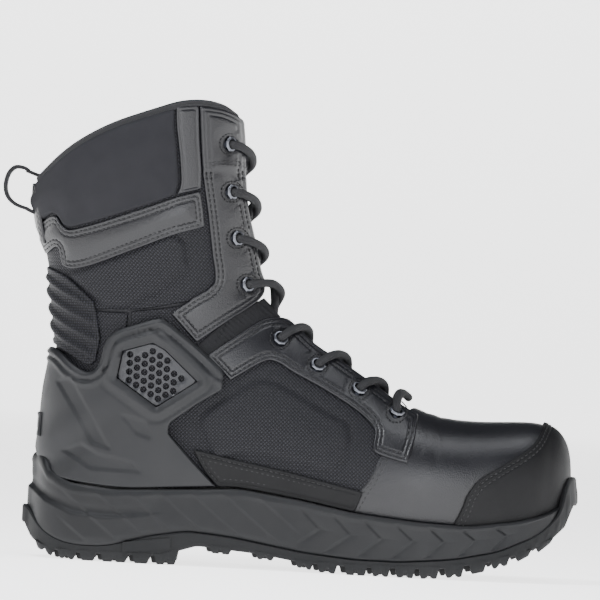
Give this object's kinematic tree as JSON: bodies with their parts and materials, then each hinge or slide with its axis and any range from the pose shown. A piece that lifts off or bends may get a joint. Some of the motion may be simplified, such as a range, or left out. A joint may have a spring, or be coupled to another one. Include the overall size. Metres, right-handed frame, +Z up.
{
  "type": "steel toe work boot",
  "caption": "Eight-inch laced work boot with a steel toe cap, moulded ankle guard, padded collar and lugged rubber sole.",
  "frame": {"origin": "on the ground under the middle of the boot's overall box", "axes": "+Z up, +X towards the toe, +Y towards the inner side of the foot (a right boot)"},
  "size_m": [0.3348, 0.1126, 0.2654],
  "materials": {
    "rubber_tread": "matte moulded nitrile rubber",
    "foam_midsole": "matte moulded polyurethane",
    "corrected_leather": "semi-gloss corrected-grain leather",
    "ballistic_nylon": "woven ballistic nylon",
    "neoprene": "brushed knit over neoprene",
    "moulded_tpu": "matte moulded TPU",
    "lining_mesh": "knitted spacer lining",
    "tongue_nylon": "padded nylon",
    "foam_padding": "open-cell foam",
    "toe_cap_steel": "pressed hardened steel",
    "edge_strip": "soft extruded PVC",
    "counter_board": "thermoformed counter sheet",
    "insole_fibre": "bonded fibre board",
    "footbed_foam": "moulded foam with knit cover",
    "gunmetal": "black oxide brass",
    "braided_lace": "round braided polyester",
    "webbing": "woven nylon webbing",
    "woven_label": "woven damask label"
  },
  "bodies": {
    "boot": {"achilles_ribs": "moulded_tpu", "ankle_foam": "foam_padding", "ankle_guard": "moulded_tpu", "back_patch": "corrected_leather", "collar_band": "corrected_leather", "collar_binding_L": "neoprene", "collar_binding_M": "neoprene", "collar_foam": "foam_padding", "collar_pad": "neoprene", "collar_strip_L": "corrected_leather", "collar_strip_M": "corrected_leather", "eyelets_L": "gunmetal", "eyelets_M": "gunmetal", "heel_badge": "moulded_tpu", "heel_counter": "counter_board", "heel_lining": "lining_mesh", "heel_quarter": "ballistic_nylon", "insole_board": "insole_fibre", "lace": "braided_lace", "lower_eyestay_L": "corrected_leather", "lower_eyestay_M": "corrected_leather", "midsole": "foam_midsole", "outsole": "rubber_tread", "pull_loop_roots": "webbing", "puncture_plate": "insole_fibre", "quarter_L": "ballistic_nylon", "quarter_M": "ballistic_nylon", "quarter_lining_L": "lining_mesh", "quarter_lining_M": "lining_mesh", "shaft_lining": "lining_mesh", "shaft_shell": "ballistic_nylon", "shank": "toe_cap_steel", "side_rand_L": "corrected_leather", "side_rand_M": "corrected_leather", "sole_plate": "moulded_tpu", "toe_cap_edge_strip": "edge_strip", "toe_cap_steel": "toe_cap_steel", "toe_guard": "corrected_leather", "upper_eyestay_L": "corrected_leather", "upper_eyestay_M": "corrected_leather", "vamp": "corrected_leather", "vamp_lining": "lining_mesh", "vent_grille_L": "moulded_tpu", "vent_grille_M": "moulded_tpu", "woven_tag": "woven_label"},
    "tongue": {"tongue_shell": "tongue_nylon", "tongue_pad": "foam_padding", "tongue_lining": "lining_mesh", "lace_keeper": "webbing", "gusset_L": "tongue_nylon", "gusset_M": "tongue_nylon"},
    "pull_loop": {"pull_loop": "webbing"},
    "footbed": {"footbed": "footbed_foam"}
  },
  "joints": [
    {"name": "tongue_tilt", "type": "hinge", "parent": "boot", "child": "tongue", "pos_m": [0.062, 0, 0.086], "axis": [0, 1, 0], "range_deg": [-8, 0]},
    {"name": "pull_loop_tilt", "type": "hinge", "parent": "boot", "child": "pull_loop", "pos_m": [-0.154, 0, 0.2075], "axis": [0, 1, 0], "range_deg": [-8, 8], "stiffness_Nm_per_rad": 0.05},
    {"name": "footbed_lift", "type": "slide", "parent": "boot", "child": "footbed", "axis": [0, 0, 1], "range_m": [0, 0.012]}
  ]
}
